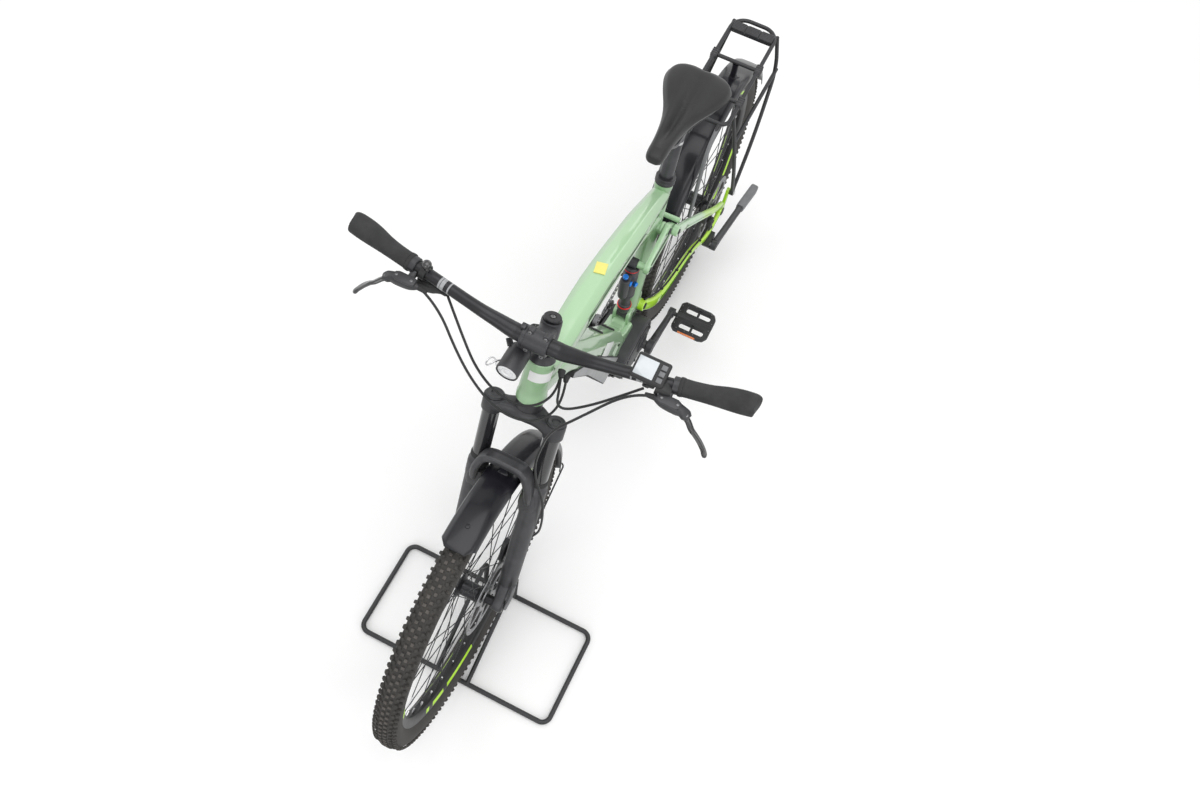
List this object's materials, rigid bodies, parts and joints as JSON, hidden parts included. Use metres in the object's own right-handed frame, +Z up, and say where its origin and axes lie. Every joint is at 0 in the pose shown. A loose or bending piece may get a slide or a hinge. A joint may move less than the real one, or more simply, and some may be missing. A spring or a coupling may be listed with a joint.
{
  "type": "electric bicycle",
  "caption": "Full-suspension electric trail bicycle with mid motor, mudguards, rear carrier, headlight and side stand, its front wheel in a wire floor stand.",
  "frame": {"origin": "on the floor in the middle plane, halfway between the two axles, which is the centre of the box's base", "axes": "+X forward, +Y to the rider's left, +Z up; the bicycle stands upright with straight steering"},
  "size_m": [1.985, 0.7916, 1.1004],
  "materials": {
    "mint": "gloss",
    "lime": "gloss",
    "black_metal": "satin",
    "dark_casting": "satin",
    "black_plastic": "matte",
    "gloss_black": "gloss",
    "grey_plastic": "matte",
    "rubber": "matte",
    "tyre": "matte",
    "steel": "brushed",
    "seat_skin": "matte"
  },
  "bodies": {
    "front_end": {"display_stand": "black_metal", "fork_lowers": "dark_casting", "fork_uppers": "black_metal", "stem": "black_metal", "handlebar": "black_metal", "grip_left": "rubber", "grip_right": "rubber", "brake_lever_left": "black_metal", "brake_lever_right": "black_metal", "shifter": "black_plastic", "display_unit": "black_plastic", "headlight": "black_metal", "front_fender": "gloss_black", "fender_stay": "steel", "front_brake": "black_metal", "hose_front_brake": "black_plastic", "hose_rear_brake": "black_plastic", "cable_shifter": "black_plastic", "cable_display": "black_plastic"},
    "front_wheel": {"front_tyre": "tyre", "front_rim": "black_metal", "front_hub": "steel", "front_rotor": "steel"},
    "frame": {"main_frame": "mint", "battery_cover": "black_plastic", "motor": "black_metal", "skid_plate": "grey_plastic", "chainstays": "lime", "seat_stays": "mint", "rocker_link": "mint", "rear_shock": "black_metal", "seatpost": "black_metal", "saddle": "seat_skin", "rear_fender": "gloss_black", "rear_rack": "black_metal", "derailleur": "black_metal", "chain": "steel", "rear_brake": "black_metal", "hose_rear": "black_plastic", "keys": "steel", "kickstand_mount": "dark_casting"},
    "rear_wheel": {"rear_tyre": "tyre", "rear_rim": "black_metal", "rear_hub": "steel", "rear_rotor": "steel", "cassette": "steel"},
    "crank": {"crank_arms": "black_metal", "chainring": "black_metal"},
    "left_pedal": {"pedal_left": "black_plastic"},
    "right_pedal": {"pedal_right": "black_plastic"},
    "kickstand": {"kickstand": "black_metal"}
  },
  "joints": [
    {"name": "steering", "type": "hinge", "parent": "front_end", "child": "frame", "pos_m": [0.58289, 0, 0.3502], "axis": [-0.4067, 0, 0.9135], "range_deg": [-60, 60], "deforming": ["hose_rear_brake", "cable_shifter", "cable_display"]},
    {"name": "front_wheel_spin", "type": "hinge", "parent": "front_end", "child": "front_wheel", "pos_m": [0.624, 0, 0.3685], "axis": [0, 1, 0], "continuous": true},
    {"name": "rear_wheel_spin", "type": "hinge", "parent": "frame", "child": "rear_wheel", "pos_m": [-0.624, 0, 0.3685], "axis": [0, 1, 0], "continuous": true},
    {"name": "crank_spin", "type": "hinge", "parent": "frame", "child": "crank", "pos_m": [-0.159, 0, 0.329], "axis": [0, 1, 0], "continuous": true},
    {"name": "left_pedal_spin", "type": "hinge", "parent": "crank", "child": "left_pedal", "pos_m": [-0.31875, 0, 0.27086], "axis": [0, 1, 0], "continuous": true},
    {"name": "right_pedal_spin", "type": "hinge", "parent": "crank", "child": "right_pedal", "pos_m": [0.00075, 0, 0.38714], "axis": [0, 1, 0], "continuous": true},
    {"name": "kickstand_fold", "type": "hinge", "parent": "frame", "child": "kickstand", "pos_m": [-0.545, 0.105, 0.318], "axis": [0, -1, 0], "range_deg": [0, 85]}
  ]
}
